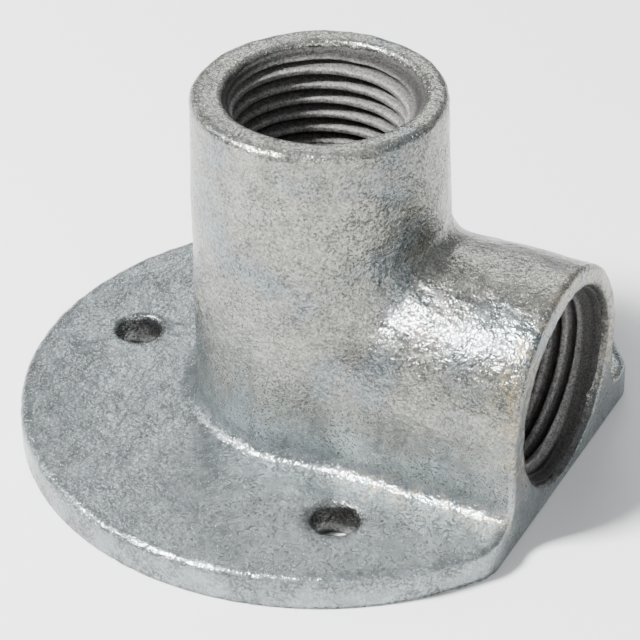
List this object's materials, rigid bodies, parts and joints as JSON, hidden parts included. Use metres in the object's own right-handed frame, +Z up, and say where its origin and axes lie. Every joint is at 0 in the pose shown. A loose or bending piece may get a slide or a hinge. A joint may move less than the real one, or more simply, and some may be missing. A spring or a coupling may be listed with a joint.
{
  "type": "threaded pipe base flange",
  "caption": "Round galvanised cast base plate with an upright threaded pipe socket, a level threaded side socket joined to it inside, and screw holes around them.",
  "frame": {"origin": "where the upright socket's axis meets the plate's flat back", "axes": "+Z up along the upright socket's axis, out of its mouth; +X along the level socket's axis, out of its mouth; +Y completes the right-handed frame"},
  "size_m": [0.0643, 0.0696, 0.0423],
  "materials": {
    "zinc_casting": "hot-dip galvanised, semi-matte"
  },
  "bodies": {
    "root": {"casting": "zinc_casting"}
  },
  "joints": []
}
